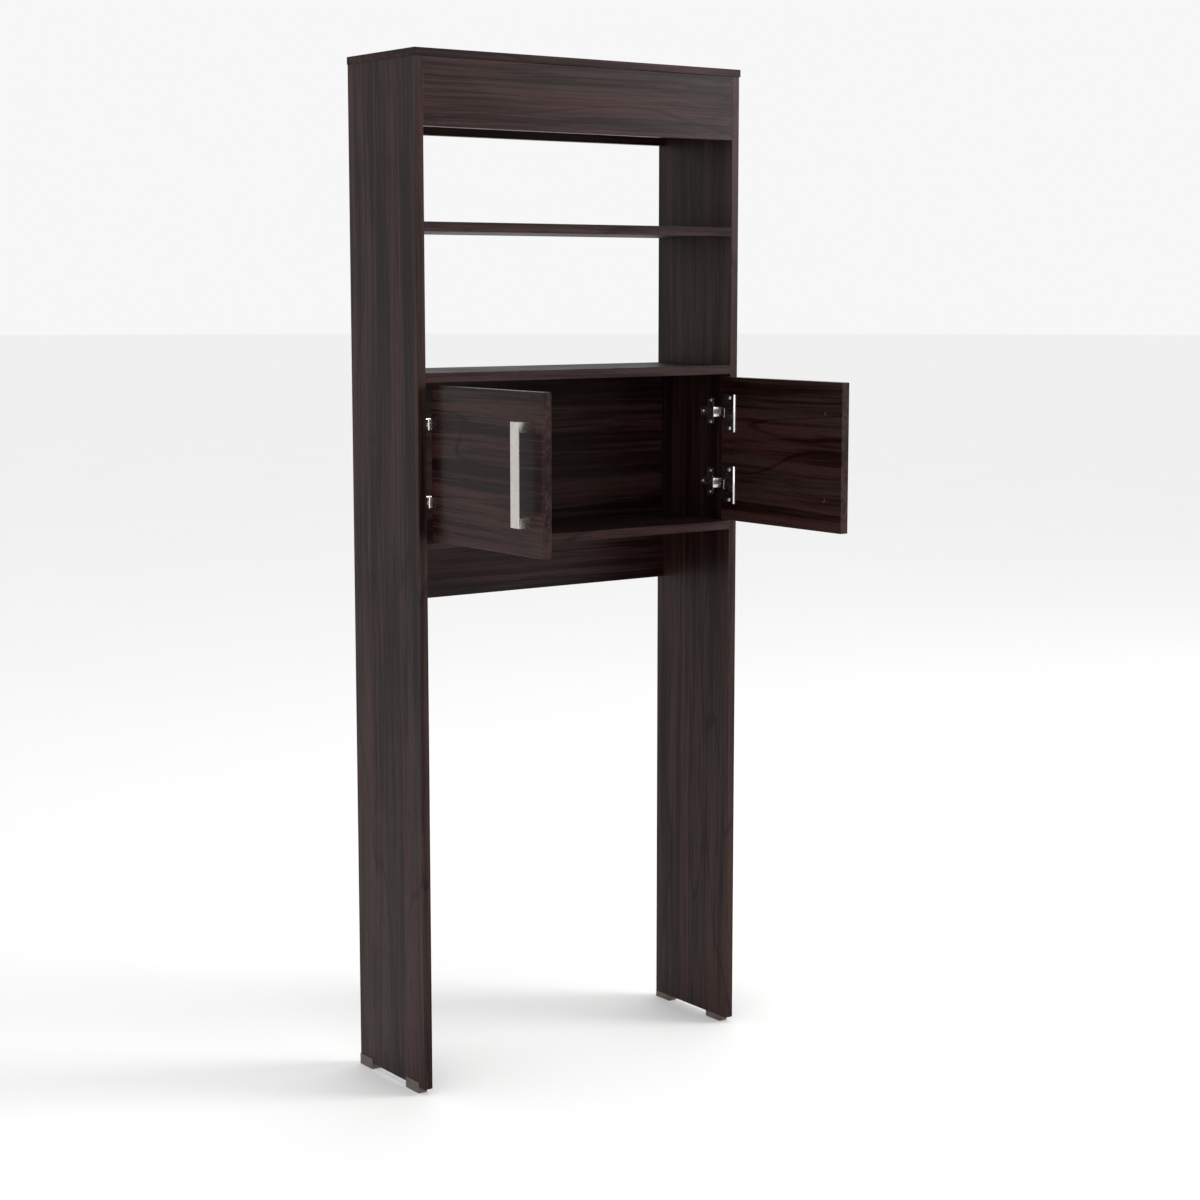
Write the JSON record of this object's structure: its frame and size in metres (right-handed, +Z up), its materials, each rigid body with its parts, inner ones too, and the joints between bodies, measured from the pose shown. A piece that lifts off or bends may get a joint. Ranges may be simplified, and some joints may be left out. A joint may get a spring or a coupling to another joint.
{
  "type": "over the toilet storage rack",
  "caption": "Tall, shallow dark wood-grain rack that stands over a toilet: open shelves above a small cabinet with inset doors that swing out, and open space between the legs.",
  "frame": {"origin": "on the floor, at the middle of the footprint of the rack's boards (not counting the open doors)", "axes": "+X to the right seen from the front, +Y towards the wall, +Z up; the doors open towards -Y"},
  "size_m": [0.643, 0.506, 1.65],
  "materials": {
    "side_board": "dark wood-grain melamine on particle board, vertical grain, semi-gloss",
    "carcass_board": "dark wood-grain melamine on particle board, grain along the board, semi-gloss",
    "door_board": "dark wood-grain melamine on particle board, horizontal grain, semi-gloss",
    "back_board": "thin hardboard with printed dark wood grain, satin",
    "handle_metal": "satin nickel plate",
    "hinge_steel": "bright nickel plate",
    "screw_steel": "zinc plate",
    "dark_screw": "blackened",
    "fitting_steel": "yellow zinc plate",
    "cam_zinc": "die-cast zinc",
    "cap_plastic": "moulded",
    "foot_plastic": "moulded, grey-brown",
    "dowel_wood": "fluted beech, bare"
  },
  "bodies": {
    "carcass": {"left_side_panel": "side_board", "right_side_panel": "side_board", "top_panel": "carcass_board", "fascia": "carcass_board", "back_rail": "carcass_board", "upper_shelf": "carcass_board", "middle_shelf": "carcass_board", "bottom_shelf": "carcass_board", "back_apron": "carcass_board", "cabinet_back": "back_board", "cam_bolts": "fitting_steel", "cam_locks": "cam_zinc", "cam_caps": "cap_plastic", "dowels": "dowel_wood", "hinge_mounting_plates": "hinge_steel", "hinge_arms": "hinge_steel", "hinge_pins": "hinge_steel", "hinge_clamp_screws": "screw_steel", "hinge_adjusting_screws": "screw_steel", "hinge_plate_screws": "screw_steel", "corner_feet": "foot_plastic", "foot_nails": "screw_steel"},
    "left_door_body": {"left_door": "door_board", "left_handle": "handle_metal", "left_handle_screws": "dark_screw", "left_hinge_leaves": "hinge_steel", "left_leaf_screws": "screw_steel"},
    "right_door_body": {"right_door": "door_board", "right_handle": "handle_metal", "right_handle_screws": "dark_screw", "right_hinge_leaves": "hinge_steel", "right_leaf_screws": "screw_steel"}
  },
  "joints": [
    {"name": "left_door_hinge", "type": "hinge", "parent": "carcass", "child": "left_door_body", "pos_m": [-0.3028, -0.1044, 1.017], "axis": [0, 0, 1], "range_deg": [0, 90]},
    {"name": "right_door_hinge", "type": "hinge", "parent": "carcass", "child": "right_door_body", "pos_m": [0.3028, -0.1044, 1.017], "axis": [0, 0, 1], "range_deg": [-90, 0]}
  ]
}
